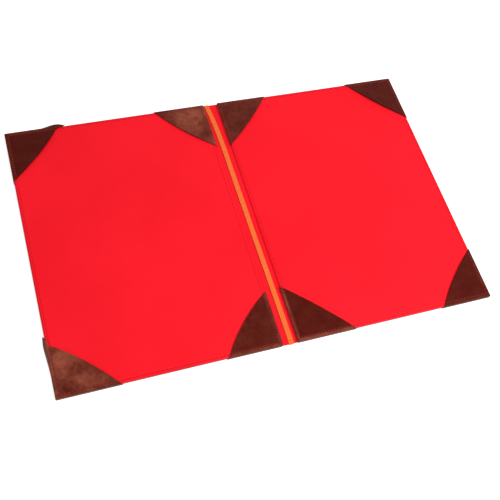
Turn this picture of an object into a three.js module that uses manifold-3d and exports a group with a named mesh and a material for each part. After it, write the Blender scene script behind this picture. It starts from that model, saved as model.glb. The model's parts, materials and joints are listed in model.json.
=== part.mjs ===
// Diploma cover lying open and flat: two stiff panels joined by a soft spine.
// Millimetres. +X runs to the right panel, +Y to the head of the cover, +Z up.
// The origin is on the table, under the middle of the spine.
import * as THREE from 'three';
import { mergeVertices } from 'three/addons/utils/BufferGeometryUtils.js';
import Module from 'manifold-3d';

const wasm = await Module();
wasm.setup();

// Panels and spine
const PANEL_WIDTH = 226;
const PANEL_HEIGHT = 308;
const PANEL_CORNER_RADIUS = 1.5;
const SPINE_GAP = 18.6;

// Layers, from the table up
const COVER_SHEET = 0.8;
const BOARD = 2;
const LINING_SHEET = 0.7;
const GLUE_LINE = 0.1;
const BOARD_FIT = 0.3;

// Creases where the soft sheets bend beside the spine
const CREASE_SPAN = 13.2;
const CREASE_SLIT = 0.6;

// Leather corner pockets
const LEATHER = 1;
const POCKET_LEG = 62;
const POCKET_BULGE = 3;
const POCKET_SLOT = 0.6;
const POCKET_TABLE_GAP = 0.3;
const POCKET_SPINE_TURN = 2.4;

// Ribbon sewn to the spine at its head and tail
const RIBBON_WIDTH = 5.6;
const RIBBON_THICKNESS = 0.4;
const RIBBON_HEAD_DRIFT = -3.2;
const RIBBON_TAIL_DRIFT = 1.8;
const RIBBON_CURL_START = 45;
const RIBBON_TURN_DOWN = 1.6;

// Smoothness of curves
const POCKET_EDGE_STEPS = 14;
const CORNER_STEPS = 6;
const RIBBON_STEPS = 24;

// Levels that follow from the layers
const coverTop = COVER_SHEET;
const boardBottom = coverTop + GLUE_LINE;
const boardTop = boardBottom + BOARD;
const liningBottom = boardTop + GLUE_LINE;
const liningTop = liningBottom + LINING_SHEET;
const spineLiningBottom = coverTop + GLUE_LINE;
const spineTop = spineLiningBottom + LINING_SHEET;
const pocketBottom = liningTop + POCKET_SLOT;
const pocketTop = pocketBottom + LEATHER;
const pocketSpineBottom = pocketTop - POCKET_SPINE_TURN;

// Places that follow from the panels and creases
const halfHeight = PANEL_HEIGHT / 2;
const innerEdge = SPINE_GAP / 2;
const outerEdge = innerEdge + PANEL_WIDTH;
const creaseInner = (CREASE_SPAN - CREASE_SLIT) / 2;
const creaseOuter = (CREASE_SPAN + CREASE_SLIT) / 2;
const lipOuter = innerEdge + LINING_SHEET;

// How far a cutting solid runs on past what it cuts
const cutReach = pocketTop;

const redLeatherette = {
  color: 0xfd222f,
  roughness: 0.55,
  metalness: 0,
};
const greyBoard = {
  color: 0x9a948a,
  roughness: 0.95,
  metalness: 0,
};
const brownLeather = {
  color: 0x4e1c16,
  roughness: 0.45,
  metalness: 0,
};
const orangeRibbon = {
  color: 0xff783c,
  roughness: 0.7,
  metalness: 0,
};

const diplomaCover = new THREE.Group();

function addMesh(name, geometry, material) {
  geometry.computeVertexNormals();
  const mesh = new THREE.Mesh(geometry, new THREE.MeshStandardMaterial(material));
  mesh.name = name;
  diplomaCover.add(mesh);
}

// A closed geometry as a solid that can be joined and cut
function toSolid(geometry) {
  const bare = geometry.index ? geometry.toNonIndexed() : geometry.clone();
  bare.deleteAttribute('normal');
  bare.deleteAttribute('uv');
  const merged = mergeVertices(bare);
  return new wasm.Manifold(new wasm.Mesh({
    numProp: 3,
    vertProperties: new Float32Array(merged.attributes.position.array),
    triVerts: new Uint32Array(merged.index.array),
  }));
}

function toGeometry(solid) {
  const { vertProperties, triVerts } = solid.getMesh();
  const geometry = new THREE.BufferGeometry();
  geometry.setAttribute('position', new THREE.BufferAttribute(vertProperties, 3));
  geometry.setIndex(new THREE.BufferAttribute(triVerts, 1));
  return geometry.toNonIndexed();
}

// A block between two corners given as [x, y, z], in any order
function block(cornerA, cornerB) {
  const size = cornerA.map((value, axis) => Math.abs(cornerB[axis] - value));
  const middle = cornerA.map((value, axis) => (cornerB[axis] + value) / 2);
  return new THREE.BoxGeometry(...size).translate(...middle);
}

function extrude(shape, bottom, top, curveSegments) {
  const geometry = new THREE.ExtrudeGeometry(shape, {
    depth: top - bottom,
    bevelEnabled: false,
    curveSegments,
  });
  return geometry.translate(0, 0, bottom);
}

// Plan of one panel: square corners at the spine, small round ones at the fore edge.
// reach is how far the plan stretches towards the spine, grow widens the other three sides.
function panelPlan(side, reach, grow) {
  const outer = outerEdge + grow;
  const half = halfHeight + grow;
  const radius = PANEL_CORNER_RADIUS + grow;
  const plan = new THREE.Shape();
  plan.moveTo(side * reach, -half);
  plan.lineTo(side * (outer - radius), -half);
  plan.quadraticCurveTo(side * outer, -half, side * outer, -half + radius);
  plan.lineTo(side * outer, half - radius);
  plan.quadraticCurveTo(side * outer, half, side * (outer - radius), half);
  plan.lineTo(side * reach, half);
  plan.closePath();
  return plan;
}

// Outer sheet of one panel: flat under the board and turned up round its three free edges
function panelCover(side) {
  const sheet = toSolid(extrude(panelPlan(side, creaseOuter, 0), 0, boardTop, CORNER_STEPS));
  const boardRoom = toSolid(block(
    [side * lipOuter, -halfHeight + COVER_SHEET, coverTop],
    [side * (outerEdge - COVER_SHEET), halfHeight - COVER_SHEET, boardTop + cutReach],
  ));
  const creaseRoom = toSolid(block(
    [side * (creaseOuter - cutReach), -halfHeight - cutReach, coverTop],
    [side * (lipOuter + BOARD_FIT), halfHeight + cutReach, boardTop + cutReach],
  ));
  return toGeometry(sheet.subtract(boardRoom).subtract(creaseRoom));
}

function board(side) {
  const inset = COVER_SHEET + BOARD_FIT;
  return block(
    [side * (lipOuter + BOARD_FIT), -halfHeight + inset, boardBottom],
    [side * (outerEdge - inset), halfHeight - inset, boardTop],
  );
}

// Lining of one panel: flat on the board, down its spine edge and out to the crease
function lining(side) {
  const top = toSolid(extrude(panelPlan(side, innerEdge, 0), liningBottom, liningTop, CORNER_STEPS));
  const lip = toSolid(block(
    [side * innerEdge, -halfHeight, spineLiningBottom],
    [side * lipOuter, halfHeight, liningTop],
  ));
  const toe = toSolid(block(
    [side * creaseOuter, -halfHeight, spineLiningBottom],
    [side * lipOuter, halfHeight, spineTop],
  ));
  return toGeometry(top.add(lip).add(toe));
}

function spineStrip(bottom, top) {
  return block([-creaseInner, -halfHeight, bottom], [creaseInner, halfHeight, top]);
}

// Sideways place of the ribbon's middle, which slants to the right at the tail
// and curls to the left panel near the head
function ribbonDrift(y) {
  const toHead = Math.max((y - RIBBON_CURL_START) / (halfHeight - RIBBON_CURL_START), 0);
  const toTail = Math.max((RIBBON_CURL_START - y) / (halfHeight + RIBBON_CURL_START), 0);
  return RIBBON_HEAD_DRIFT * toHead ** 3 + RIBBON_TAIL_DRIFT * toTail;
}

function ribbon() {
  const half = RIBBON_WIDTH / 2;
  const bend = halfHeight + GLUE_LINE;
  const reach = bend + RIBBON_THICKNESS;
  const stations = [-reach];
  for (let step = 0; step <= RIBBON_STEPS; step += 1) {
    stations.push(THREE.MathUtils.lerp(-bend, bend, step / RIBBON_STEPS));
  }
  stations.push(reach);
  const middle = (y) => ribbonDrift(THREE.MathUtils.clamp(y, -bend, bend));
  const plan = new THREE.Shape();
  plan.moveTo(middle(-reach) - half, -reach);
  for (const y of stations) {
    plan.lineTo(middle(y) + half, y);
  }
  for (const y of stations.slice(1).reverse()) {
    plan.lineTo(middle(y) - half, y);
  }
  plan.closePath();
  let band = toSolid(extrude(plan, spineTop, spineTop + RIBBON_THICKNESS, 1));
  for (const end of [-1, 1]) {
    const x = ribbonDrift(end * bend);
    band = band.add(toSolid(block(
      [x - half, end * bend, spineTop - RIBBON_TURN_DOWN + GLUE_LINE],
      [x + half, end * reach, spineTop + RIBBON_THICKNESS],
    )));
  }
  return toGeometry(band);
}

// Leather corner pocket: a flap over the panel's corner, turned down over both its edges.
// The flap is open along the curved edge that faces the middle of the panel.
function pocket(side, end, atSpine) {
  const cornerX = side * (atSpine ? innerEdge : outerEdge);
  const inwardX = atSpine ? side : -side;
  const cornerY = end * halfHeight;
  const proud = LEATHER + GLUE_LINE;
  const x = (u) => cornerX + inwardX * u;
  const y = (v) => cornerY - end * v;

  const flap = new THREE.Shape();
  const bulgeMiddle = (POCKET_LEG - proud) / 2 + POCKET_BULGE * Math.SQRT2;
  const round = PANEL_CORNER_RADIUS + proud;
  flap.moveTo(x(round - proud), y(-proud));
  flap.lineTo(x(POCKET_LEG), y(-proud));
  flap.quadraticCurveTo(x(bulgeMiddle), y(bulgeMiddle), x(-proud), y(POCKET_LEG));
  flap.lineTo(x(-proud), y(round - proud));
  flap.quadraticCurveTo(x(-proud), y(-proud), x(round - proud), y(-proud));
  const outside = toSolid(extrude(flap, POCKET_TABLE_GAP, pocketTop, POCKET_EDGE_STEPS));

  const panelRoom = toSolid(extrude(
    panelPlan(side, innerEdge - GLUE_LINE, GLUE_LINE),
    POCKET_TABLE_GAP - cutReach,
    pocketBottom,
    CORNER_STEPS,
  ));
  const creaseRoom = toSolid(block(
    [0, -halfHeight - cutReach, POCKET_TABLE_GAP - cutReach],
    [side * innerEdge, halfHeight + cutReach, pocketSpineBottom],
  ));
  return toGeometry(outside.subtract(panelRoom).subtract(creaseRoom));
}

// Assembly
const sides = { left: -1, right: 1 };
const ends = { head: 1, tail: -1 };

addMesh('spine_cover', spineStrip(0, coverTop), redLeatherette);
addMesh('spine_lining', spineStrip(spineLiningBottom, spineTop), redLeatherette);
addMesh('ribbon', ribbon(), orangeRibbon);
for (const [sideName, side] of Object.entries(sides)) {
  addMesh(`${sideName}_cover`, panelCover(side), redLeatherette);
  addMesh(`${sideName}_board`, board(side), greyBoard);
  addMesh(`${sideName}_lining`, lining(side), redLeatherette);
  for (const [endName, end] of Object.entries(ends)) {
    addMesh(`${sideName}_${endName}_outer_pocket`, pocket(side, end, false), brownLeather);
    addMesh(`${sideName}_${endName}_spine_pocket`, pocket(side, end, true), brownLeather);
  }
}

export default diplomaCover;
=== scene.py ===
# Diploma cover lying open: stitched red panels, brown leather corner pockets, a ribbon in the spine.
# Metres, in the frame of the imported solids. Lengths given in millimetres are multiplied by MM.
import json
import math
import random

import bmesh
import bpy
from mathutils import Matrix, Vector, noise


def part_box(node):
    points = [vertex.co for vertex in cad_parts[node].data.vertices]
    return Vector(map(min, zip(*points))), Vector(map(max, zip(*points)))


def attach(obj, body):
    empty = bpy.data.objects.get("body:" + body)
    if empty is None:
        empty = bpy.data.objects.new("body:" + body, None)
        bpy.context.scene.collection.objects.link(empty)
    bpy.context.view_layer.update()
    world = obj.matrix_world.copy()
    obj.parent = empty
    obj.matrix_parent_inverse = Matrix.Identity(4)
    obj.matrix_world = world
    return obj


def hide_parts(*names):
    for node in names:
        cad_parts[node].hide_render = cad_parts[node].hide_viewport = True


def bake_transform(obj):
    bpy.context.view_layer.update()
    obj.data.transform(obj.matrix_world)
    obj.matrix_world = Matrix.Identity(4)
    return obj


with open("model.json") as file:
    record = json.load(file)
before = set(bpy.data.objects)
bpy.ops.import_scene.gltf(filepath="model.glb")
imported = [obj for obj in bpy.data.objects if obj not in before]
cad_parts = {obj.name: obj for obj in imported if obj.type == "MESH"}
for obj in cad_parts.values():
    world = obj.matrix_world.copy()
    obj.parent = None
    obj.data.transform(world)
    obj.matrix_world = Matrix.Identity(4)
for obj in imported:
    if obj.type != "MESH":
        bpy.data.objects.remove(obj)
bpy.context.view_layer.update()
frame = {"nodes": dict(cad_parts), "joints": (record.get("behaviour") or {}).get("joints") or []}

MM = 0.001
QUARTER = math.pi / 2

# The photograph's camera: its place, the point of the table that it looks at, its direction to the right,
# and the frame's width and the focal length in pixels
CAMERA_PLACE = Vector((-0.22522, -0.37919, 0.71754))
CAMERA_TARGET = Vector((-0.00836, -0.04082, 0.0))
CAMERA_RIGHT = Vector((0.94586, -0.28777, 0.15015))
PHOTO_PIXELS = 500
FOCAL_PIXELS = 760.4
SENSOR_MM = 36

# How far the leather's outer face stands out past the panel's edges
LEATHER_PROUD = 1.1 * MM

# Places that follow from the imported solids
lining_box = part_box("right_lining")
cover_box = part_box("right_cover")
spine_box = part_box("spine_lining")
pocket_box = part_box("right_head_spine_pocket")
ribbon_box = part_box("ribbon")
INNER_EDGE = pocket_box[0].x + LEATHER_PROUD
OUTER_EDGE = lining_box[1].x
HALF_HEIGHT = lining_box[1].y
LINING_TOP = lining_box[1].z
LINING_SHEET = spine_box[1].z - spine_box[0].z
WALL_TOP = cover_box[1].z
COVER_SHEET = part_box("spine_cover")[1].z
SPINE_TOP = spine_box[1].z
SPINE_BOTTOM = spine_box[0].z
HINGE_X = frame["joints"][0]["pos_m"][0]
PANEL_MIDDLE = (INNER_EDGE + OUTER_EDGE) / 2
PANEL_HALF_WIDTH = (OUTER_EDGE - INNER_EDGE) / 2

# The round corners of a panel, and of the rings inside its outline
PANEL_CORNER = 1.5 * MM
SHARPEST_CORNER = 0.4 * MM
CORNER_STEPS = 4

# How far the red sheets, pressed by their seam, spread past the panel's free edges
SPREAD = 0.55 * MM

# The seam round each panel
SEAM_INSET = 2.65 * MM
STITCH_PITCH = 3.7 * MM
STITCH_STEPS = 4
STITCHES_ACROSS = round((2 * PANEL_HALF_WIDTH - 2 * SEAM_INSET) / STITCH_PITCH)
STITCHES_ALONG = round((2 * HALF_HEIGHT - 2 * SEAM_INSET) / STITCH_PITCH)
EDGE_STITCHES = (STITCHES_ACROSS, STITCHES_ALONG, STITCHES_ACROSS, STITCHES_ALONG)
PITCH_ACROSS = 2 * (PANEL_HALF_WIDTH - SEAM_INSET) / STITCHES_ACROSS
PITCH_ALONG = 2 * (HALF_HEIGHT - SEAM_INSET) / STITCHES_ALONG
STITCH_LENGTH = 2.9 * MM
STITCH_RADIUS = 0.30 * MM
STITCH_SLANT = math.radians(6)
STITCH_JITTER = 0.03
STITCH_SEED = 31

# The soft spine is a little longer than the stiff panels
SPINE_HEAD = HALF_HEIGHT + 1.2 * MM
SPINE_TAIL = HALF_HEIGHT + 0.5 * MM

# Leather of the corner pockets, pared thin where it turns over the panel's edges
LEATHER = 0.9 * MM
PARED_LEATHER = 0.45 * MM
PARED_MARGIN = 2.2 * MM
FLAP_TOP = LINING_TOP + 1.1 * MM
WALL_FOOT = pocket_box[0].z
SPINE_WALL_FOOT = LINING_TOP - 0.8 * MM
FLAP_STEPS = 48
FOLD_STEPS = 4
WALL_STEPS = 8
STEP_BUNCHING = 1.2

# Relief of a flap, in bare millimetres except WRINKLE_SIZE. Each span holds the insets over which a form
# grows to its full height. A stitch pulls ridge and groove down by so much more.
RIDGE_INSET = 1.0
RIDGE_HEIGHT = 0.14
RIDGE_PULLED_DOWN = 0.10
GROOVE_DEPTH = 0.22
GROOVE_PULLED_DOWN = 0.14
SEAM_FORM_WIDTH = 0.7
CROWN_HEIGHT = 0.20
CROWN_SPAN = (3.4, 12)
WRINKLE_SPAN = (3.5, 14)
WRINKLE_HEIGHT = 0.32
FINE_WRINKLE_HEIGHT = 0.16
FINE_WRINKLE_SCALE = 2.7
WRINKLE_SIZE = 13 * MM

# How far the free edge gapes, in millimetres, and the shares of the way to it where that starts and ends
GAPE_HEIGHT = 0.8
GAPE_SPAN = (0.5, 1.05)

# A loose margin: where along its leg it starts to stand away and over what share of it, how fast, how much
# it draws in there and past the leg's end, how far its foot rises, and the insets over which what runs on
# past the leg's end fades out. The ends of every wall slant by END_SLOPE.
LOOSE_START = 0.40
LOOSE_RUN = 0.55
LOOSE_POWER = 1.4
LOOSE_DRAW = 0.38
TONGUE_DRAW = 0.5
LOOSE_RISE = 0.6 * MM
TONGUE_SPAN = (0.2, 2.4)
END_SLOPE = 0.45

# Tone of the leather: how softly its two margins meet at the corner, the painted highlight on the ridge
# inside the fold in millimetres, and how far painted shade darkens the fold, the wall and the seam's groove
MITRE_BLEND = 2 * MM
RIDGE_HIGHLIGHT_INSET = 0.8
RIDGE_HIGHLIGHT_WIDTH = 1.1
FOLD_SHADE = 0.10
FOLD_SHADE_WIDTH = 0.9
WALL_SHADE_GROWTH = 0.20
WALL_SHADE_MOST = 0.30
SEAM_SHADE = 0.5
SEAM_SHADE_WIDTH = 0.5

# The ribbon in the spine
RIBBON_WIDTH = 5.6 * MM
RIBBON_THICKNESS = 0.45 * MM
RIBBON_HEAD_DRIFT = -3.9 * MM
RIBBON_TAIL_DRIFT = 1.8 * MM
RIBBON_CURL_START = 45 * MM
RIBBON_CURL_POWER = 3.3
RIBBON_STATIONS = 150

# The light, the sky and the floor
KEY_PLACE = (0.46, -0.40, 0.92)
KEY_TARGET = (0.02, -0.02, 0)
KEY_SIZE = 0.6
KEY_POWER = 7.95
SKY_LIGHT = 0.55
FLOOR_SIZE = 8
FLOOR_DROP = 0.1 * MM
FLOOR_TONE = 0.8
FLOOR_GLOW = 0.66


# Nodes of materials


class Shader:
    """Adds nodes to one material, left to right."""

    def __init__(self, name):
        self.material = bpy.data.materials.new(name)
        self.material.use_nodes = True
        self.tree = self.material.node_tree
        self.surface = self.tree.nodes["Principled BSDF"]
        self.place = self.add("ShaderNodeTexCoord").outputs["Object"]

    def add(self, kind, **settings):
        node = self.tree.nodes.new(kind)
        for key, value in settings.items():
            setattr(node, key, value)
        return node

    def link(self, output, target):
        self.tree.links.new(output, target)

    def set(self, **values):
        for key, value in values.items():
            self.surface.inputs[key.replace("_", " ")].default_value = value

    def noise(self, size, detail=2.0, roughness=0.5, place=None):
        node = self.add("ShaderNodeTexNoise")
        node.inputs["Scale"].default_value = 1 / size
        node.inputs["Detail"].default_value = detail
        node.inputs["Roughness"].default_value = roughness
        self.link(place or self.place, node.inputs["Vector"])
        return node.outputs["Fac"]

    def attribute(self, name):
        return self.add("ShaderNodeAttribute", attribute_name=name).outputs["Fac"]

    def cells(self, size, feature="F1"):
        node = self.add("ShaderNodeTexVoronoi", feature=feature)
        node.inputs["Scale"].default_value = 1 / size
        self.link(self.place, node.inputs["Vector"])
        return node.outputs["Distance"]

    def math(self, operation, first, second=None):
        node = self.add("ShaderNodeMath", operation=operation)
        for socket, value in zip(node.inputs, (first, second)):
            if isinstance(value, (int, float)):
                socket.default_value = value
            elif value is not None:
                self.link(value, socket)
        return node.outputs["Value"]

    def range(self, value, low, high, to_low, to_high):
        node = self.add("ShaderNodeMapRange", interpolation_type="SMOOTHSTEP")
        for socket, number in zip(list(node.inputs)[1:5], (low, high, to_low, to_high)):
            socket.default_value = number
        self.link(value, node.inputs["Value"])
        return node.outputs["Result"]

    def blend(self, share, first, second):
        node = self.add("ShaderNodeMix", data_type="RGBA")
        colours = [socket for socket in node.inputs if socket.type == "RGBA"]
        for socket, value in zip(colours, (first, second)):
            if isinstance(value, tuple):
                socket.default_value = (*value, 1)
            else:
                self.link(value, socket)
        self.link(share, node.inputs["Factor"])
        return next(socket for socket in node.outputs if socket.type == "RGBA")

    def colour(self, output):
        self.link(output, self.surface.inputs["Base Color"])

    def roughness(self, output):
        self.link(output, self.surface.inputs["Roughness"])

    def bump(self, *layers):
        """Each layer is (height output, depth in metres)."""
        previous = None
        for height, depth in layers:
            node = self.add("ShaderNodeBump")
            node.inputs["Distance"].default_value = depth
            node.inputs["Strength"].default_value = 1
            self.link(height, node.inputs["Height"])
            if previous:
                self.link(previous, node.inputs["Normal"])
            previous = node.outputs["Normal"]
        self.link(previous, self.surface.inputs["Normal"])


def leatherette(name, base, deep, gloss=0.25, gloss_tint=(1, 0.30, 0.32, 1)):
    """Fine-grained artificial leather, darker where the mesh's rim attribute is high, which holds the
    pressed edge's darker tone together with painted shade along the rounded edges.
    """
    rim_shade_tone = 0.6
    shader = Shader(name)
    cloud = shader.noise(90 * MM, detail=3)
    grain = shader.cells(0.9 * MM)
    fine = shader.noise(0.35 * MM, detail=3)
    tone = shader.range(cloud, 0.35, 0.65, 0.0, 0.5)
    tone = shader.math("ADD", tone, shader.range(grain, 0.1, 0.7, 0.0, 0.25))
    body = shader.blend(tone, base, deep)
    # painted shade with the pressed edge's darker tone: the rim attribute blends the red toward this darker
    # copy
    rim = tuple(rim_shade_tone * part for part in base)
    shader.colour(shader.blend(shader.attribute("rim"), body, rim))
    shader.roughness(shader.range(fine, 0.3, 0.7, 0.46, 0.62))
    shader.bump((shader.noise(40 * MM), 0.08 * MM), (grain, 0.03 * MM), (fine, 0.02 * MM))
    shader.set(Specular_IOR_Level=gloss, Specular_Tint=gloss_tint)
    return shader.material


def leather(name, dark, light):
    """Oiled leather with its own mottle, pores and creases, lighter where a mesh attribute lays on painted
    sheen, darker where the fold attribute lays on painted shade.
    """
    deep_tone = 0.45
    shader = Shader(name)
    patches = shader.noise(15 * MM, detail=3, roughness=0.55)
    streaks = shader.noise(4 * MM, detail=4, roughness=0.6)
    pores = shader.cells(0.8 * MM)
    creases = shader.cells(2.4 * MM, "DISTANCE_TO_EDGE")
    crease_lines = shader.range(creases, 0.0, 0.12, 0.0, 1.0)
    mottle = shader.range(patches, 0.30, 0.70, 0.60, 1.30)
    mottle = shader.math("ADD", mottle, shader.range(streaks, 0.25, 0.75, -0.24, 0.24))
    # painted sheen: the mesh attribute scales the leather's own mottle toward its light tone
    mottle = shader.math("MULTIPLY", shader.attribute("wear"), mottle)
    body = shader.blend(mottle, dark, light)
    deep = tuple(deep_tone * part for part in dark)
    body = shader.blend(shader.range(pores, 0.0, 0.35, 0.30, 0.0), body, deep)
    body = shader.blend(shader.range(creases, 0.0, 0.10, 0.16, 0.0), body, deep)
    # painted shade: the fold attribute darkens the walls, the fold and the seam's groove toward the deep
    # tone
    shader.colour(shader.blend(shader.attribute("fold"), body, deep))
    shader.roughness(shader.range(patches, 0.35, 0.7, 0.40, 0.55))
    shader.bump((patches, 0.25 * MM), (crease_lines, 0.02 * MM), (pores, 0.03 * MM))
    shader.set(Specular_IOR_Level=0.2, Specular_Tint=(1, 0.18, 0.12, 1))
    return shader.material


def thread(name, base, deep):
    shader = Shader(name)
    twist = shader.add("ShaderNodeTexWave", bands_direction="DIAGONAL")
    twist.inputs["Scale"].default_value = 1 / (2.6 * MM)
    shader.link(shader.place, twist.inputs["Vector"])
    fibres = shader.noise(0.12 * MM, detail=3)
    shader.colour(shader.blend(fibres, base, deep))
    shader.roughness(shader.range(fibres, 0.3, 0.7, 0.5, 0.7))
    shader.bump((twist.outputs["Fac"], 0.06 * MM), (fibres, 0.02 * MM))
    shader.set(Specular_IOR_Level=0.2)
    return shader.material


def woven_ribbon(name, base, deep):
    shader = Shader(name)
    weft_pitch = 0.42 * MM
    warp_pitch = 0.5 * MM
    apart = shader.add("ShaderNodeSeparateXYZ")
    shader.link(shader.place, apart.inputs["Vector"])
    weft = shader.math("SINE", shader.math("MULTIPLY", apart.outputs["Y"], 2 * math.pi / weft_pitch))
    warp = shader.math("SINE", shader.math("MULTIPLY", apart.outputs["X"], 2 * math.pi / warp_pitch))
    weave = shader.math("MULTIPLY", weft, shader.math("ADD", warp, 1.6))
    slubs = shader.noise(2.5 * MM, detail=3)
    hollows = shader.range(weave, -2.0, 2.0, 0.4, 0.0)
    tone = shader.math("ADD", hollows, shader.range(slubs, 0.3, 0.7, 0, 0.3))
    shader.colour(shader.blend(tone, base, deep))
    shader.roughness(shader.range(slubs, 0.3, 0.7, 0.55, 0.7))
    shader.bump((weave, 0.03 * MM), (slubs, 0.05 * MM))
    shader.set(Sheen_Weight=0.08, Sheen_Tint=(1, 0.5, 0.25, 1), Specular_IOR_Level=0.15)
    return shader.material


def greyboard(name, base, deep):
    shader = Shader(name)
    pulp = shader.noise(1.2 * MM, detail=5)
    flecks = shader.cells(3 * MM)
    shader.colour(shader.blend(shader.range(pulp, 0.3, 0.7, 0.0, 1.0), base, deep))
    shader.roughness(shader.range(flecks, 0.0, 0.6, 0.85, 0.95))
    shader.bump((pulp, 0.05 * MM))
    return shader.material


RED = leatherette("red_leatherette", (1.0, 0.0100, 0.0220), (0.90, 0.0070, 0.0165))
RED_EDGE = leatherette("red_leatherette_cut_edge", (0.66, 0.014, 0.028), (0.50, 0.010, 0.020),
                       gloss=0.5, gloss_tint=(1, 1, 1, 1))
# the light tone is the leather where painted sheen is strongest
BROWN_LEATHER = leather("brown_leather", (0.051, 0.0016, 0.0007), (0.350, 0.088, 0.050))
FLESH_SIDE = leather("brown_leather_flesh", (0.085, 0.022, 0.014), (0.17, 0.06, 0.04))
CUT_EDGE = leather("brown_leather_cut_edge", (0.036, 0.006, 0.004), (0.12, 0.035, 0.022))
# the red thread's own tone with painted shade of its needle holes and seam groove laid into it
RED_THREAD = thread("red_thread", (0.58, 0.004, 0.010), (0.42, 0.003, 0.008))
WAXED_THREAD = thread("red_thread_waxed", (0.42, 0.034, 0.044), (0.27, 0.014, 0.019))
ORANGE_THREAD = thread("orange_thread", (0.85, 0.15, 0.04), (0.55, 0.08, 0.02))
RIBBON_CLOTH = woven_ribbon("orange_ribbon", (1.0, 0.200, 0.040), (0.98, 0.140, 0.022))
# darker woven edges: partly the selvedge's own tone, partly painted shade for the ribbon's sides
SHADED_SELVEDGE = woven_ribbon("orange_ribbon_shaded_selvedge", (0.85, 0.080, 0.012), (0.70, 0.050, 0.008))
BOARD = greyboard("grey_board", (0.36, 0.33, 0.28), (0.25, 0.22, 0.18))


# Building meshes


def make_object(name, vertices, faces, materials, face_materials=None, crease_degrees=40):
    mesh = bpy.data.meshes.new(name)
    mesh.from_pydata([tuple(v) for v in vertices], [], faces)
    for material in materials:
        mesh.materials.append(material)
    if face_materials:
        mesh.polygons.foreach_set("material_index", face_materials)
    edit = bmesh.new()
    edit.from_mesh(mesh)
    bmesh.ops.recalc_face_normals(edit, faces=edit.faces)
    edit.to_mesh(mesh)
    edit.free()
    mesh.shade_smooth()
    mesh.set_sharp_from_angle(angle=math.radians(crease_degrees))
    obj = bpy.data.objects.new(name, mesh)
    bpy.context.scene.collection.objects.link(obj)
    return obj


def add_values(obj, name, values):
    layer = obj.data.attributes.new(name, "FLOAT", "POINT")
    layer.data.foreach_set("value", values)


def smooth(low, high, value):
    share = min(max((value - low) / (high - low), 0), 1)
    return share * share * (3 - 2 * share)


def bell(distance, width):
    return math.exp(-((distance / width) ** 2))


def panel_ring(inset, spine_inset):
    """Points round a panel at an inset from its edges: (across, along, spine share, stitch phase).
    across runs from the panel's middle to its fore edge. The edges come in the order tail, fore, head
    and spine.
    """
    radius = max(PANEL_CORNER - inset, SHARPEST_CORNER)
    near = -PANEL_HALF_WIDTH + spine_inset + radius
    far = PANEL_HALF_WIDTH - inset - radius
    high = HALF_HEIGHT - inset - radius
    centres = ((near, -high), (far, -high), (far, high), (near, high))
    points = []
    for edge, stitches in enumerate(EDGE_STITCHES):
        start, end = centres[edge], centres[(edge + 1) % 4]
        outward = QUARTER * (edge - 1)
        on_spine = 1.0 if edge == 3 else 0.0
        next_on_spine = 1.0 if edge == 2 else 0.0
        steps = stitches * STITCH_STEPS
        for step in range(steps + 1):
            share = step / steps
            across = start[0] + (end[0] - start[0]) * share + radius * math.cos(outward)
            along = start[1] + (end[1] - start[1]) * share + radius * math.sin(outward)
            points.append((across, along, on_spine, 2 * math.pi * stitches * share))
        for step in range(1, CORNER_STEPS):
            share = step / CORNER_STEPS
            angle = outward + QUARTER * share
            across = end[0] + radius * math.cos(angle)
            along = end[1] + radius * math.sin(angle)
            points.append((across, along, on_spine + (next_on_spine - on_spine) * share, 0.0))
    return points


def ring_solid(name, side, profile, edge_bands):
    """A closed panel layer lofted through rings. Each ring is, in millimetres, its inset at the free edges
    and at the spine edge, its height at both, and how deep the stitches pucker it. Bands in edge_bands show
    the sheet's cut edge along the free edges. The rim attribute is high near those edges, but not at the
    tail. It darkens the red there with the pressed edge's own darker tone and with painted shade where the
    rounded edge turns from the light. The painted shade is mostly left off at the tail, which faces the
    light.
    """
    rim_shade_width = 1.6
    lost_at_tail = 0.8
    vertices = []
    rings = []
    rim_shades = []
    for inset, spine_inset, height, spine_height, pucker in profile:
        ring = panel_ring(inset * MM, spine_inset * MM)
        rings.append(ring)
        # painted shade, with the pressed edge's darker tone, along the free edges; mostly left off at the
        # tail where the light falls
        rim = bell(inset + SPREAD / MM, rim_shade_width)
        for across, along, spine_share, phase in ring:
            z = height + (spine_height - height) * spine_share + pucker * math.cos(phase)
            vertices.append((side * (PANEL_MIDDLE + across), along, z * MM))
            at_tail = smooth(HALF_HEIGHT - 4 * MM, HALF_HEIGHT - 2 * MM, -along)
            rim_shades.append(rim * (1 - spine_share) * (1 - lost_at_tail * at_tail))
    count = len(rings[0])
    faces = [list(range(count)), list(range(len(vertices) - count, len(vertices)))]
    kinds = [0, 0]
    for band in range(len(profile) - 1):
        for i in range(count):
            j = (i + 1) % count
            low, high = band * count, (band + 1) * count
            faces.append((low + i, low + j, high + j, high + i))
            on_spine = rings[band][i][2] > 0.5
            kinds.append(1 if band in edge_bands and not on_spine else 0)
    obj = make_object(name, vertices, faces, [RED, RED_EDGE], kinds)
    add_values(obj, "rim", rim_shades)
    return obj


def level_rings(height, rows):
    """Rings level on all four edges, from rows of inset, rise over the height, and pucker."""
    return [(inset, inset, height + rise, height + rise, pucker) for inset, rise, pucker in rows]


# Panels


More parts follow.
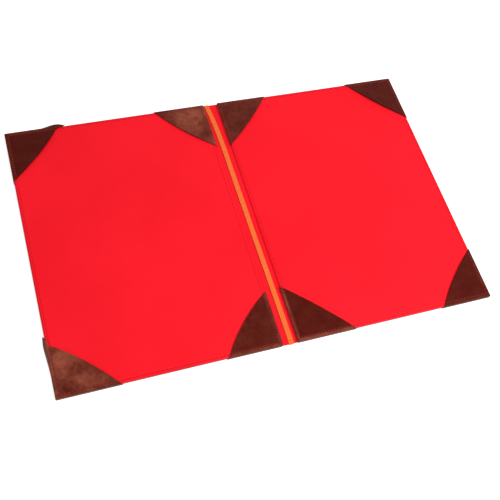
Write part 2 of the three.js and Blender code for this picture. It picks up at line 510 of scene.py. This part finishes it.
def panel_lining(side, side_name):
    """The lining lies on the board, slopes down to the spine and is rounded along its free edges."""
    top = LINING_TOP / MM
    under = top - LINING_SHEET / MM
    floor_height = SPINE_TOP / MM
    edge = -SPREAD / MM
    profile = [
        (edge + 2.1, 1.60, under + 0.06, under + 0.06, 0),
        (edge + 1.9, 0.85, under, under - 0.10, 0),
        (edge + 1.1, 0.10, under, floor_height + 0.15, 0),
        (edge + 0.1, -0.45, under - 0.03, floor_height + 0.02, 0),
        (edge, -0.85, under + 0.04, floor_height + 0.05, 0),
    ]
    round_edge = 0.65
    cut_edge_bands = range(3, 8)
    slope = ((-0.78, 1.78), (-0.38, 2.30), (0.02, 2.90), (0.38, 3.40), (0.80, 3.67))
    for step, (spine_inset, spine_height) in enumerate(slope):
        angle = QUARTER * step / (len(slope) - 1)
        inset = edge + round_edge * (1 - math.cos(angle))
        height = top - round_edge * (1 - math.sin(angle))
        profile.append((inset, spine_inset, height, spine_height, 0))
    seam = SEAM_INSET / MM
    profile += level_rings(top, [
        (1.20, 0.07, 0.01),
        (1.65, 0.07, 0.02),
        (seam - 0.60, -0.02, 0.01),
        (seam - 0.30, -0.12, -0.05),
        (seam, -0.20, -0.10),
        (seam + 0.30, -0.12, -0.05),
        (seam + 0.65, 0.00, 0.01),
        (4.00, 0.06, 0.02),
        (5.50, 0.05, 0),
        (9.00, 0.01, 0),
        (13.0, 0.00, 0),
    ])
    return ring_solid(f"{side_name}_panel_lining", side, profile, cut_edge_bands)


def panel_cover(side, side_name):
    """The outer sheet: flat below, grooved by the seam, and turned up round the three free edges."""
    sheet = COVER_SHEET / MM
    top = WALL_TOP / MM + 0.02
    edge = -SPREAD / MM
    cut_edge_bands = range(10, 15)
    seam = SEAM_INSET / MM
    profile = level_rings(0, [
        (13.0, 0.00, 0),
        (seam + 0.65, 0.00, 0),
        (seam + 0.30, 0.13, 0.02),
        (seam, 0.28, 0.08),
        (seam - 0.30, 0.13, 0.02),
        (seam - 0.65, 0.00, 0),
    ])
    wall = (
        (1.30, 0.00, 0.00),
        (0.75, 0.09, 0.02),
        (0.35, 0.33, 0.10),
        (0.10, 0.75, 0.30),
        (0.00, 1.30, 0.50),
        (0.00, 2.30, 0.70),
        (0.04, top - 0.17, sheet),
        (0.22, top, sheet),
        (0.60, top, sheet),
        (0.80, top - 0.12, sheet),
        (0.85, sheet + 0.05, sheet),
        (1.60, sheet, sheet),
    )
    for inset, height, spine_height in wall:
        profile.append((edge + inset, inset / 2, height, spine_height, 0))
    return ring_solid(f"{side_name}_outer_cover", side, profile, cut_edge_bands)


# Soft strips of the spine


def slab(name, across_points, along_points, bottom, top, edge_round, materials):
    """A thin closed sheet over a grid, thinner by edge_round on each face at its head and tail. top gives
    the height of its upper face at a place, and bottom is the level of the lower one.
    """
    vertices = []
    last_row = len(along_points) - 1
    for layer in (0, 1):
        for row, y in enumerate(along_points):
            pinch = edge_round if row in (0, last_row) else 0
            for x in across_points:
                vertices.append((x, y, top(x, y) - pinch if layer else bottom + pinch))
    rows, columns = len(along_points), len(across_points)
    layer_size = rows * columns
    faces = []
    for row in range(rows - 1):
        for column in range(columns - 1):
            a = row * columns + column
            quad = (a, a + 1, a + columns + 1, a + columns)
            faces.append(quad)
            faces.append(tuple(layer_size + corner for corner in quad))
    rim = list(range(columns))
    rim += [row * columns + columns - 1 for row in range(1, rows)]
    rim += [(rows - 1) * columns + column for column in range(columns - 2, -1, -1)]
    rim += [row * columns for row in range(rows - 2, 0, -1)]
    for i, a in enumerate(rim):
        b = rim[(i + 1) % len(rim)]
        faces.append((a, b, layer_size + b, layer_size + a))
    return make_object(name, vertices, faces, materials)


def spine_strips(side, side_name):
    columns = 36
    rows = 120
    dip_place, dip_width, dip_depth = 7.75 * MM, 0.5 * MM, 0.18 * MM
    ripple_width, ripple_length, ripple_depth = 7 * MM, 30 * MM, 0.06 * MM
    across_points = [side * INNER_EDGE * i / columns for i in range(columns + 1)]
    edge_round = 0.2 * MM
    tail, head = edge_round - SPINE_TAIL, SPINE_HEAD - edge_round
    inner_rows = [tail + (head - tail) * j / rows for j in range(rows + 1)]
    along_points = [-SPINE_TAIL, *inner_rows, SPINE_HEAD]

    def lining_top(x, y):
        dip = bell(abs(x) - dip_place, dip_width)
        ripple = noise.noise(Vector((x / ripple_width, y / ripple_length, side)))
        fade = 1 - smooth(0.6 * HINGE_X, 0.95 * HINGE_X, abs(x))
        return SPINE_TOP - dip_depth * dip + ripple_depth * ripple * fade

    def cover_top(x, y):
        return COVER_SHEET

    grid = (across_points, along_points)
    strips = (
        slab(f"{side_name}_spine_lining", *grid, SPINE_BOTTOM, lining_top, edge_round, [RED]),
        slab(f"{side_name}_spine_cover", *grid, 0, cover_top, edge_round, [RED]),
    )
    for strip in strips:
        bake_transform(strip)
    return strips


# Corner pockets


class Pocket:
    """One leather pocket. A place on it is (u, v): u runs in from the panel's corner along the head or tail
    edge, v along the fore or spine edge. Past those edges the leather goes on in steps down its walls.
    """

    def __init__(self, side, end, at_spine, legs, bulge, lean, proud, wear, margins, seed, worn=(),
                 tongues=((0, 0), (0, 0))):
        self.legs = Vector(legs) * MM
        self.bulge, self.lean = bulge * MM, lean * MM
        self.side_proud = proud * MM
        self.wear, self.margins, self.worn, self.seed = wear, margins, worn, seed
        self.tongue_u, self.tongue_v = (length * MM for length, _ in tongues)
        self.loose_u, self.loose_v = (loose for _, loose in tongues)
        self.corner = Vector((side * (INNER_EDGE if at_spine else OUTER_EDGE), end * HALF_HEIGHT))
        self.inward = Vector((side if at_spine else -side, -end))
        self.side_foot = SPINE_WALL_FOOT if at_spine else WALL_FOOT
        self.first = self.crossing(1, 0.0, 0.5)
        self.last = self.crossing(0, 1.0, 0.5)
        self.leg_u = self.free_edge(0).x
        self.leg_v = self.free_edge(1).y

    def whole_edge(self, share):
        """The free edge drawn between the leather's outer faces, from the end of one leg to the other's."""
        start, end = Vector((self.legs.x, 0)), Vector((0, self.legs.y))
        chord = (end - start).normalized()
        outward = Vector((-chord.y, chord.x)) * (1 if chord.y < 0 else -1)
        middle = (start + end) / 2 + outward * (2 * self.bulge) + chord * (2 * self.lean)
        back = 1 - share
        return start * back * back + middle * (2 * share * back) + end * (share * share)

    def crossing(self, axis, outside, inside):
        """The share of the whole edge at which it crosses the panel's edge."""
        halvings = 40
        for _ in range(halvings):
            middle = (outside + inside) / 2
            if self.whole_edge(middle)[axis] < LEATHER_PROUD:
                outside = middle
            else:
                inside = middle
        return inside

    def free_edge(self, share):
        proud = Vector((LEATHER_PROUD, LEATHER_PROUD))
        return self.whole_edge(self.first + (self.last - self.first) * share) - proud

    def pattern(self, a, b):
        """A place on the flat flap for shares a and b in 0 to 1, a Coons patch over its four sides."""
        along_u, along_v = Vector((self.leg_u, 0)), Vector((0, self.leg_v))
        near_u, near_v = self.free_edge(b / 2), self.free_edge(1 - a / 2)
        sides = along_u * (a * (1 - b)) + near_v * b + along_v * (b * (1 - a)) + near_u * a
        corners = along_u * (a * (1 - b)) + along_v * (b * (1 - a)) + self.free_edge(0.5) * (a * b)
        return sides - corners

    def height(self, u, v):
        """Height of the flap's upper face."""
        inset = min(u, v) / MM
        across, pitch = (u, PITCH_ACROSS) if u > v else (v, PITCH_ALONG)
        pull = 0.5 + 0.5 * math.cos(2 * math.pi * (across - SEAM_INSET) / pitch)
        ridge = (RIDGE_HEIGHT - RIDGE_PULLED_DOWN * pull) * bell(inset - RIDGE_INSET, SEAM_FORM_WIDTH)
        seam_apart = inset - SEAM_INSET / MM
        groove = (GROOVE_DEPTH + GROOVE_PULLED_DOWN * pull) * bell(seam_apart, SEAM_FORM_WIDTH)
        crown = CROWN_HEIGHT * smooth(*CROWN_SPAN, inset)
        reach = u / self.leg_u + v / self.leg_v
        spread = min(1, 4 * u * v / (self.leg_u * self.leg_v))
        gape = GAPE_HEIGHT * smooth(*GAPE_SPAN, reach) * max(spread, 0)
        place = Vector((u / WRINKLE_SIZE, v / WRINKLE_SIZE, self.seed))
        wrinkle = WRINKLE_HEIGHT * noise.noise(place)
        wrinkle += FINE_WRINKLE_HEIGHT * noise.noise(place * FINE_WRINKLE_SCALE)
        wrinkle *= smooth(*WRINKLE_SPAN, inset)
        return FLAP_TOP + (ridge - groove + crown + gape + wrinkle) * MM

    def run(self, step, proud, foot):
        """How far a step down the wall lies from the fold's start, round the fold and down to the foot."""
        fold = QUARTER * proud
        if step <= FOLD_STEPS:
            return fold * step / FOLD_STEPS
        straight = FLAP_TOP - proud - foot
        return fold + straight * (step - FOLD_STEPS) / (WALL_STEPS - FOLD_STEPS)

    def standing_out(self, along, leg, most):
        """How far the wall has come away from the panel: 0 is folded down, 1 is flat."""
        share = min(max((along / leg - LOOSE_START) / LOOSE_RUN, 0), 1)
        return most * share ** LOOSE_POWER

    def place(self, u, v, down_u, down_v, inner):
        """A point of the outer or inner face over (u, v), or so many steps down the walls from there."""
        thickness = PARED_LEATHER + (LEATHER - PARED_LEATHER) * smooth(0, PARED_MARGIN, min(u, v))
        depth = thickness if inner else 0
        if not down_u and not down_v:
            return self.world(u, v, self.height(u, v) - depth)
        if down_v >= down_u:
            turn = QUARTER / 2 * down_u / down_v
        else:
            turn = QUARTER - QUARTER / 2 * down_v / down_u
        share = turn / QUARTER
        step = max(down_u, down_v)
        proud = LEATHER_PROUD + (self.side_proud - LEATHER_PROUD) * share
        run = self.run(step, proud, WALL_FOOT + (self.side_foot - WALL_FOOT) * share)
        loose = self.standing_out(u, self.leg_u, self.loose_u) * (1 - share)
        loose += self.standing_out(v, self.leg_v, self.loose_v) * share
        beyond = smooth(self.leg_u, self.leg_u + self.tongue_u + MM, u)
        beyond = max(beyond, smooth(self.leg_v, self.leg_v + self.tongue_v + MM, v))
        limit = QUARTER * (1 - loose)
        angle = min(run / proud, limit)
        rest = max(run - proud * limit, 0) * (1 - loose * (LOOSE_DRAW + TONGUE_DRAW * beyond))
        bend = proud - depth
        out = bend * math.sin(angle) + rest * math.cos(angle)
        drop = proud - bend * math.cos(angle) + rest * math.sin(angle)
        z = self.height(u, v) - drop + LOOSE_RISE * loose * step / WALL_STEPS
        return self.world(u - out * math.sin(turn), v - out * math.cos(turn), z)

    def world(self, u, v, z):
        return Vector((self.corner.x + self.inward.x * u, self.corner.y + self.inward.y * v, z))

    def worn_at(self, u, v):
        """How much painted sheen lightens the leather: its level for the pocket, a painted highlight on the
        ridge along the folded edges, and lighter and darker spots of painted sheen.
        """
        # painted highlight on the ridge inside each folded edge, blended at the corner, then spots of
        # painted sheen
        at_side = smooth(-MITRE_BLEND, MITRE_BLEND, v - u)
        margin = self.margins[0] + (self.margins[1] - self.margins[0]) * at_side
        inset = max(min(u, v) / MM - RIDGE_HIGHLIGHT_INSET, 0)
        worn = self.wear + margin * bell(inset, RIDGE_HIGHLIGHT_WIDTH)
        for patch_u, patch_v, radius, amount in self.worn:
            distance = math.hypot(u / MM - patch_u, v / MM - patch_v)
            worn += amount * bell(distance, radius)
        return worn

    def shaded_at(self, u, v, down):
        """How much painted shade darkens the leather: on its walls, along the fold and in the seam's
        groove.
        """
        if down:
            return min(FOLD_SHADE + WALL_SHADE_GROWTH * down / FOLD_STEPS, WALL_SHADE_MOST)
        inset = min(u, v) / MM
        seam = SEAM_SHADE * bell(inset - SEAM_INSET / MM, SEAM_SHADE_WIDTH)
        return max(FOLD_SHADE * (1 - smooth(0, FOLD_SHADE_WIDTH, inset)), seam)

    def grid(self):
        """Places (u, v, steps down the wall past u = 0, and past v = 0), as rows of columns."""
        shares = [(i / FLAP_STEPS) ** STEP_BUNCHING for i in range(FLAP_STEPS + 1)]
        rows = []
        for j in range(-WALL_STEPS, FLAP_STEPS + 1):
            row = []
            for i in range(-WALL_STEPS, FLAP_STEPS + 1):
                a, b = shares[max(i, 0)], shares[max(j, 0)]
                down_u, down_v = max(-i, 0), max(-j, 0)
                u, v = self.pattern(a, b)
                if j <= i and self.tongue_u or down_v:
                    margin = 1 - smooth(*TONGUE_SPAN, v / MM)
                    run = self.run(down_v, LEATHER_PROUD, WALL_FOOT)
                    u += a ** 3 * (self.tongue_u * margin + END_SLOPE * run)
                if i < j and self.tongue_v or down_u:
                    margin = 1 - smooth(*TONGUE_SPAN, u / MM)
                    run = self.run(down_u, self.side_proud, self.side_foot)
                    v += b ** 3 * (self.tongue_v * margin + END_SLOPE * run)
                row.append((u, v, down_u, down_v))
            rows.append(row)
        return rows

    def build(self, name):
        grid = self.grid()
        size = len(grid)
        places = [place for row in grid for place in row]
        outer = [self.place(*place, False) for place in places]
        inner = [self.place(*place, True) for place in places]
        wear = [self.worn_at(u, v) for u, v, _, _ in places]
        fold = [self.shaded_at(u, v, max(down_u, down_v)) for u, v, down_u, down_v in places]
        vertices = outer + inner
        faces, kinds = [], []
        for row in range(size - 1):
            for column in range(size - 1):
                a = row * size + column
                quad = (a, a + 1, a + size + 1, a + size)
                faces += [quad, tuple(len(outer) + corner for corner in quad)]
                kinds += [0, 1]
        rim = [(0, c) for c in range(size)] + [(r, size - 1) for r in range(1, size)]
        rim += [(size - 1, c) for c in range(size - 2, -1, -1)] + [(r, 0) for r in range(size - 2, 0, -1)]
        round_out = 0.15 * MM
        rim_start = len(vertices)
        for row, column in rim:
            inside_row = min(max(row, 1), size - 2)
            inside_column = min(max(column, 1), size - 2)
            here = row * size + column
            inside = inside_row * size + inside_column
            outward = (outer[here] - outer[inside]).normalized() * round_out
            vertices.append((outer[here] + inner[here]) / 2 + outward)
        for i, (row, column) in enumerate(rim):
            k = (i + 1) % len(rim)
            a, b = row * size + column, rim[k][0] * size + rim[k][1]
            faces.append((a, b, rim_start + k, rim_start + i))
            faces.append((rim_start + i, rim_start + k, len(outer) + b, len(outer) + a))
            kinds += [2, 2]
        leathers = [BROWN_LEATHER, FLESH_SIDE, CUT_EDGE]
        obj = make_object(name, vertices, faces, leathers, kinds, crease_degrees=50)
        rim_wear = [wear[row * size + column] for row, column in rim]
        rim_painted_shade = [fold[row * size + column] for row, column in rim]
        add_values(obj, "wear", wear + wear + rim_wear)
        add_values(obj, "fold", fold + fold + rim_painted_shade)
        return obj


# How each hand-cut pocket differs. legs: length along the head or tail edge and along the fore or spine
# edge. bulge and lean: how far the free edge bows out, and along itself. proud: how far the fold stands out
# past the fore or spine edge. wear: how much painted sheen lightens the leather. margins: how much
# painted highlight lightens the ridge along its two folded edges. shine: spots of painted sheen, lighter or
# darker, of u, v, radius and amount. tongues: for each leg, how far the margin outside the seam runs on
# past its end and how flat it lies there.
SIDES = {"left": -1, "right": 1}
ENDS = {"head": 1, "tail": -1}
CUTS = {
    ("left", "head", "outer"): dict(
        legs=(58.3, 64.1), bulge=3.7, lean=-2.9, proud=1.1, wear=0.05, margins=(0.18, 0.10),
        tongues=((7.0, 0.92), (0, 0)), seed=1,
    ),
    ("left", "head", "spine"): dict(
        legs=(59.2, 59.3), bulge=3.8, lean=0.2, proud=1.6, wear=0.46, margins=(-0.10, 0.10),
        worn=((22, 18, 14, 0.40), (8, 26, 5, -0.26), (8, 41, 8, -0.30), (50, 4, 12, -0.18)), seed=2,
    ),
    ("left", "tail", "outer"): dict(
        legs=(62.9, 56.3), bulge=3.3, lean=2.7, proud=1.1, wear=0.44, margins=(0.05, 0.14),
        worn=((8, 22, 7, 0.40), (10, 40, 10, 0.30), (24, 12, 6, 0.32), (17, 19, 5, -0.16),
              (10, 6, 5, -0.28)),
        tongues=((0, 0), (7.0, 0.45)), seed=3,
    ),
    ("left", "tail", "spine"): dict(
        legs=(57.2, 61.6), bulge=4.0, lean=-2.2, proud=1.6, wear=0.12, margins=(0.30, 0.22), seed=4,
    ),
    ("right", "head", "spine"): dict(
        legs=(60.0, 61.6), bulge=2.7, lean=-0.4, proud=0.6, wear=0.21, margins=(0.12, 0.08), seed=5,
    ),
    ("right", "head", "outer"): dict(
        legs=(61.0, 62.3), bulge=2.7, lean=0.0, proud=1.1, wear=0.07, margins=(0.20, 0.18), seed=6,
    ),
    ("right", "tail", "spine"): dict(
        legs=(65.4, 64.1), bulge=1.2, lean=-1.6, proud=0.6, wear=0.07, margins=(0.45, 0.45), seed=7,
    ),
    ("right", "tail", "outer"): dict(
        legs=(58.4, 59.9), bulge=3.0, lean=-0.5, proud=1.1, wear=0.06, margins=(0.12, 0.16), seed=8,
    ),
}
POCKETS = {
    (side_name, end_name, place_name): Pocket(
        SIDES[side_name], ENDS[end_name], place_name == "spine", **cut)
    for (side_name, end_name, place_name), cut in CUTS.items()
}


# Threads


def add_stitch(vertices, faces, centre, direction, up, length=STITCH_LENGTH, radius=STITCH_RADIUS):
    """One stitch: a short thread that comes up out of one needle hole and goes down the next."""
    sideways = up.cross(direction)
    end_sink = 1.15
    end_taper = 0.35
    sides = 6
    stations = (-1, -0.72, -0.3, 0.3, 0.72, 1)
    start = len(vertices)
    for share in stations:
        sink = end_sink * radius * abs(share) ** 3
        thick = radius * (1 - end_taper * share * share)
        middle = centre + direction * (length / 2 * share) - up * sink
        for k in range(sides):
            angle = 2 * math.pi * k / sides
            vertices.append(middle + (sideways * math.cos(angle) + up * math.sin(angle)) * thick)
    for ring in range(len(stations) - 1):
        for k in range(sides):
            a, b = start + ring * sides + k, start + ring * sides + (k + 1) % sides
            faces.append((a, b, b + sides, a + sides))
    faces.append([start + k for k in range(sides)])
    faces.append([start + (len(stations) - 1) * sides + k for k in range(sides)])


def pocket_over(side_name, across, along):
    """The pocket, if any, whose leather the seam crosses at a place on the panel, with its (u, v)."""
    end_name = "head" if along > 0 else "tail"
    place_name = "outer" if across > 0 else "spine"
    pocket = POCKETS[side_name, end_name, place_name]
    u = PANEL_HALF_WIDTH - abs(across)
    v = HALF_HEIGHT - abs(along)
    covered = u / pocket.leg_u + v / pocket.leg_v < 1
    return (pocket, u, v) if covered else (None, u, v)


def panel_seam(side, side_name):
    """All stitches of one panel's seam, on the inside and on the outside of the cover."""
    vertices, faces, kinds = [], [], []
    above_leather, below_lining_top = 0.10 * MM, 0.02 * MM
    wide, high = PANEL_HALF_WIDTH - SEAM_INSET, HALF_HEIGHT - SEAM_INSET
    corners = (Vector((-wide, -high)), Vector((wide, -high)), Vector((wide, high)), Vector((-wide, high)))
    up = Vector((0, 0, 1))
    chance = random.Random(STITCH_SEED + side)
    for edge, stitches in enumerate(EDGE_STITCHES):
        start, end = corners[edge], corners[(edge + 1) % 4]
        run = (end - start).normalized()
        for stitch in range(stitches):
            spot = start.lerp(end, (stitch + 0.5) / stitches)
            turn = STITCH_SLANT + chance.uniform(-STITCH_JITTER, STITCH_JITTER)
            slanted = Vector((run.x * math.cos(turn) - run.y * math.sin(turn),
                              run.x * math.sin(turn) + run.y * math.cos(turn)))
            direction = Vector((side * slanted.x, slanted.y, 0)).normalized()
            x = side * (PANEL_MIDDLE + spot.x)
            pocket, u, v = pocket_over(side_name, spot.x, spot.y)
            if pocket:
                z = pocket.height(u, v) + above_leather
            else:
                z = LINING_TOP - below_lining_top
            first_face = len(faces)
            add_stitch(vertices, faces, Vector((x, spot.y, z)), direction, up)
            kinds += [1 if pocket else 0] * (len(faces) - first_face)
            first_face = len(faces)
            add_stitch(vertices, faces, Vector((x, spot.y, STITCH_RADIUS)), direction, -up)
            kinds += [0] * (len(faces) - first_face)
    threads = [RED_THREAD, WAXED_THREAD]
    return make_object(f"{side_name}_seam_thread", vertices, faces, threads, kinds, crease_degrees=70)


# Ribbon


def ribbon_drift(y):
    """Sideways place of the ribbon, which slants to the right at the tail and curls left near the head."""
    to_head = max((y - RIBBON_CURL_START) / (HALF_HEIGHT - RIBBON_CURL_START), 0)
    to_tail = max((RIBBON_CURL_START - y) / (HALF_HEIGHT + RIBBON_CURL_START), 0)
    return RIBBON_HEAD_DRIFT * to_head ** RIBBON_CURL_POWER + RIBBON_TAIL_DRIFT * to_tail


def ribbon_line():
    """Stations along the ribbon: its middle and its upward direction, turned down over both ends."""
    bend = 0.45 * MM
    bend_steps = 4
    inset = 0.1 * MM
    mean_lift, lift_change, lift_length, lift_row = 0.45, 0.3, 45 * MM, 3
    head, tail = SPINE_HEAD - inset, inset - SPINE_TAIL
    lying = SPINE_TOP + RIBBON_THICKNESS / 2
    foot = ribbon_box[0].z + inset
    stations = []
    for i in range(RIBBON_STATIONS + 1):
        y = tail + (head - tail) * i / RIBBON_STATIONS
        loose = 1 - abs(2 * i / RIBBON_STATIONS - 1) ** 8
        lift = mean_lift + lift_change * noise.noise(Vector((0, y / lift_length, lift_row)))
        stations.append((Vector((ribbon_drift(y), y, lying + lift * MM * loose)), Vector((0, 0, 1))))
    for end, edge in ((1, head), (-1, tail)):
        x = ribbon_drift(edge)
        tip = []
        for step in range(1, bend_steps + 1):
            angle = QUARTER * step / bend_steps
            drop = bend * (1 - math.cos(angle))
            middle = Vector((x, edge + end * bend * math.sin(angle), lying - drop))
            tip.append((middle, Vector((0, end * math.sin(angle), math.cos(angle)))))
        tip.append((Vector((x, edge + end * bend, foot)), Vector((0, end, 0))))
        stations = stations + tip if end == 1 else tip[::-1] + stations
    return stations


def ribbon():
    half = RIBBON_WIDTH / 2
    thick = RIBBON_THICKNESS / 2
    shaded_selvedge_start = 0.9
    section = [
        (-1, 0.35),
        (-0.93, 0.85),
        (-0.8, 0.8),
        (-0.4, 1),
        (0, 1.05),
        (0.4, 1),
        (0.8, 0.8),
        (0.93, 0.85),
        (1, 0.35),
    ]
    outline = section + [(across, -up) for across, up in reversed(section)]
    line = ribbon_line()
    vertices = []
    for i, (middle, up) in enumerate(line):
        ahead = (line[min(i + 1, len(line) - 1)][0] - line[max(i - 1, 0)][0]).normalized()
        sideways = ahead.cross(up).normalized()
        for across, lift in outline:
            vertices.append(middle + sideways * (across * half) + up * (lift * thick))
    count = len(outline)
    faces = [list(range(count)), list(range(len(vertices) - count, len(vertices)))]
    kinds = [1, 1]
    for ring in range(len(line) - 1):
        for k in range(count):
            a, b = ring * count + k, ring * count + (k + 1) % count
            faces.append((a, b, b + count, a + count))
            # the outermost bands get the edge cloth, which carries painted shade at the ribbon's sides
            outermost = min(abs(outline[k][0]), abs(outline[(k + 1) % count][0])) > shaded_selvedge_start
            kinds.append(1 if outermost else 0)
    return make_object("spine_ribbon", vertices, faces, [RIBBON_CLOTH, SHADED_SELVEDGE], kinds)


def ribbon_stitches():
    vertices, faces = [], []
    end_inset = 3 * MM
    length, radius = 1.3 * MM, 0.2 * MM
    height = ribbon_box[1].z + 0.22 * MM
    for end in (-1, 1):
        y = end * (HALF_HEIGHT - end_inset)
        for share in (-0.55, 0, 0.55):
            centre = Vector((ribbon_drift(y) + share * RIBBON_WIDTH / 2, y, height))
            add_stitch(vertices, faces, centre, Vector((1, 0, 0)), Vector((0, 0, 1)), length, radius)
    return make_object("ribbon_stitches", vertices, faces, [ORANGE_THREAD], crease_degrees=70)


# Camera, lights and floor


def camera():
    data = bpy.data.cameras.new("camera")
    data.sensor_width = SENSOR_MM
    data.lens = SENSOR_MM * FOCAL_PIXELS / PHOTO_PIXELS
    data.clip_start, data.clip_end = 0.05, 20
    obj = bpy.data.objects.new("camera", data)
    bpy.context.scene.collection.objects.link(obj)
    back = (CAMERA_PLACE - CAMERA_TARGET).normalized()
    right = (CAMERA_RIGHT - back * CAMERA_RIGHT.dot(back)).normalized()
    up = back.cross(right)
    obj.matrix_world = Matrix.Translation(CAMERA_PLACE) @ Matrix((right, up, back)).transposed().to_4x4()
    bpy.context.scene.camera = obj


def area_light(name, place, target, size, power):
    data = bpy.data.lights.new(name, "AREA")
    data.shape = "DISK"
    data.size = size
    data.energy = power
    obj = bpy.data.objects.new(name, data)
    bpy.context.scene.collection.objects.link(obj)
    obj.location = place
    obj.rotation_euler = (Vector(target) - Vector(place)).to_track_quat("-Z", "Y").to_euler()


def seen_share(tree):
    """1 for rays that show the background itself: from the camera, a reflection or through glass."""
    path = tree.nodes.new("ShaderNodeLightPath")
    total = path.outputs["Is Camera Ray"]
    for name in ("Is Glossy Ray", "Is Transmission Ray"):
        add = tree.nodes.new("ShaderNodeMath")
        add.operation = "MAXIMUM"
        tree.links.new(total, add.inputs[0])
        tree.links.new(path.outputs[name], add.inputs[1])
        total = add.outputs["Value"]
    return total


def surroundings():
    world = bpy.data.worlds.new("studio")
    bpy.context.scene.world = world
    world.use_nodes = True
    tree = world.node_tree
    strength = tree.nodes.new("ShaderNodeMapRange")
    strength.inputs["To Min"].default_value = SKY_LIGHT
    strength.inputs["To Max"].default_value = 1
    tree.links.new(seen_share(tree), strength.inputs["Value"])
    background = tree.nodes["Background"]
    background.inputs["Color"].default_value = (1, 1, 1, 1)
    tree.links.new(strength.outputs["Result"], background.inputs["Strength"])
    area_light("key", KEY_PLACE, KEY_TARGET, KEY_SIZE, KEY_POWER)


def floor():
    bpy.ops.mesh.primitive_plane_add(size=FLOOR_SIZE, location=(0, 0, -FLOOR_DROP))
    plane = bpy.context.active_object
    plane.name = "floor"
    material = bpy.data.materials.new("floor")
    material.use_nodes = True
    tree = material.node_tree
    tree.nodes.remove(tree.nodes["Principled BSDF"])
    diffuse = tree.nodes.new("ShaderNodeBsdfDiffuse")
    diffuse.inputs["Color"].default_value = (FLOOR_TONE, FLOOR_TONE, FLOOR_TONE, 1)
    glow = tree.nodes.new("ShaderNodeEmission")
    share = tree.nodes.new("ShaderNodeMath")
    share.operation = "MULTIPLY"
    share.inputs[1].default_value = FLOOR_GLOW
    tree.links.new(seen_share(tree), share.inputs[0])
    tree.links.new(share.outputs["Value"], glow.inputs["Strength"])
    add = tree.nodes.new("ShaderNodeAddShader")
    tree.links.new(diffuse.outputs["BSDF"], add.inputs[0])
    tree.links.new(glow.outputs["Emission"], add.inputs[1])
    tree.links.new(add.outputs["Shader"], tree.nodes["Material Output"].inputs["Surface"])
    plane.data.materials.append(material)


# Assembly


def ride(piece, body, slot, *nodes):
    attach(piece, body)
    if nodes:
        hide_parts(*nodes)


camera()
surroundings()
floor()
bpy.context.scene.view_settings.view_transform = "Standard"

for side_name, side in SIDES.items():
    body = f"{side_name}_panel"
    ride(panel_lining(side, side_name), body, "red_leatherette", f"{side_name}_lining")
    ride(panel_cover(side, side_name), body, "red_leatherette", f"{side_name}_cover")
    ride(panel_seam(side, side_name), body, "red_leatherette")
    spine_lining, spine_cover = spine_strips(side, side_name)
    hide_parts("spine_lining")
    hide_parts("spine_cover")
    board = frame["nodes"][f"{side_name}_board"]
    board.data.materials.clear()
    board.data.materials.append(BOARD)

for (side_name, end_name, place_name), pocket in POCKETS.items():
    place = f"{side_name}_{end_name}_{place_name}"
    ride(pocket.build(f"{place}_leather"), f"{side_name}_panel", "brown_leather", f"{place}_pocket")

ride(ribbon(), "spine", "orange_ribbon", "ribbon")
ride(ribbon_stitches(), "spine", "orange_ribbon")
